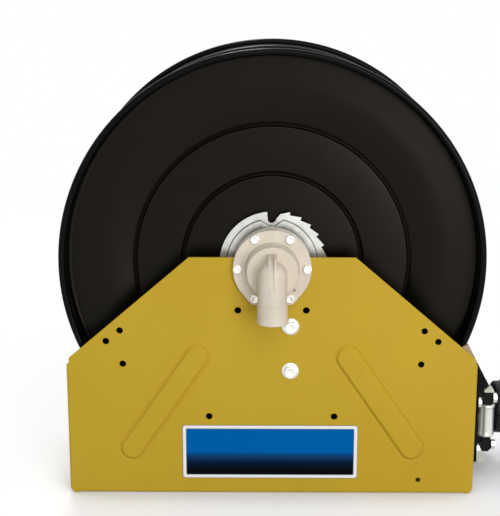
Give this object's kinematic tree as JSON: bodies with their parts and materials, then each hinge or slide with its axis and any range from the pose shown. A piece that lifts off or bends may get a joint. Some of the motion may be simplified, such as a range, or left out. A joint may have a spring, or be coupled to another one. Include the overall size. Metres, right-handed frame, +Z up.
{
  "type": "spring hose reel",
  "caption": "Floor-standing spring-rewind hose reel: large black spool between yellow side panels, inlet swivel, ratchet latch, roller guide and rubber hose with stop.",
  "frame": {"origin": "centre of the four floor bolt holes, on the underside of the frame's feet", "axes": "+X towards the roller guide where the hose leaves, -Y towards the inlet swivel side, +Z up"},
  "size_m": [1.2019, 0.3978, 0.7551],
  "materials": {
    "yellow_paint": "gloss",
    "black_gloss": "gloss",
    "black_satin": "satin",
    "zinc": "satin",
    "steel": "satin",
    "spring_steel": "satin",
    "cast_metal": "satin",
    "bronze": "satin",
    "white_nylon": "matte",
    "hose_rubber": "matte",
    "label": "gloss"
  },
  "bodies": {
    "frame": {"near_side_panel": "yellow_paint", "far_side_panel": "yellow_paint", "base_plate": "yellow_paint", "base_bolts": "zinc", "end_brace": "yellow_paint", "label_plate": "label", "bearing_housing": "cast_metal", "near_bearing": "steel", "swivel_body": "cast_metal", "swivel_bolts": "zinc", "swivel_seal": "hose_rubber", "power_spring": "spring_steel", "arbor_shaft": "steel", "arbor_bracket": "cast_metal", "arbor_bolts": "zinc", "pawl_bolt": "zinc", "spring_bolt": "zinc", "pawl_spring": "spring_steel", "hose_turns": "hose_rubber", "hose_lead": "hose_rubber", "hose_end_fitting": "zinc", "hose_stop": "hose_rubber", "hose_stop_bolts": "zinc", "near_guide_arm": "black_satin", "far_guide_arm": "black_satin", "arm_screws": "black_satin", "guide_plate": "black_satin", "chute_plate": "zinc", "lower_roller_bar": "black_satin", "upper_roller_bar": "black_satin", "bar_bolts": "zinc", "side_bolts": "zinc", "roller_pins": "zinc"},
    "spool": {"near_disc": "black_gloss", "far_disc": "black_gloss", "drum": "black_gloss", "spool_axle": "steel", "riser_pipe": "steel", "near_hub": "steel", "far_hub": "steel", "far_bush": "bronze", "ratchet_wheel": "zinc", "near_hub_bolts": "zinc", "far_hub_bolts": "zinc", "spring_case": "black_gloss", "spring_cover": "black_gloss", "case_bolts": "zinc", "hose_core": "hose_rubber"},
    "pawl": {"pawl": "zinc"},
    "near_roller": {"near_roller": "white_nylon"},
    "far_roller": {"far_roller": "white_nylon"},
    "lower_roller": {"lower_roller": "white_nylon"},
    "upper_roller": {"upper_roller": "white_nylon"}
  },
  "joints": [
    {"name": "spool_spin", "type": "hinge", "parent": "frame", "child": "spool", "pos_m": [0, 0, 0.3995], "axis": [0, 1, 0], "continuous": true, "deforming": ["power_spring"]},
    {"name": "pawl_pivot", "type": "hinge", "parent": "frame", "child": "pawl", "pos_m": [0.031, -0.1069, 0.2984], "axis": [0, 1, 0], "range_deg": [0, 82], "stiffness_Nm_per_rad": 0.1, "deforming": ["pawl_spring"]},
    {"name": "near_roller_spin", "type": "hinge", "parent": "frame", "child": "near_roller", "pos_m": [0.381, -0.0434, 0.1], "axis": [0, 0, 1], "continuous": true},
    {"name": "far_roller_spin", "type": "hinge", "parent": "frame", "child": "far_roller", "pos_m": [0.381, 0.0434, 0.1], "axis": [0, 0, 1], "continuous": true},
    {"name": "lower_roller_spin", "type": "hinge", "parent": "frame", "child": "lower_roller", "pos_m": [0.3355, 0, 0.061], "axis": [0, 1, 0], "continuous": true},
    {"name": "upper_roller_spin", "type": "hinge", "parent": "frame", "child": "upper_roller", "pos_m": [0.3355, 0, 0.155], "axis": [0, 1, 0], "continuous": true}
  ]
}
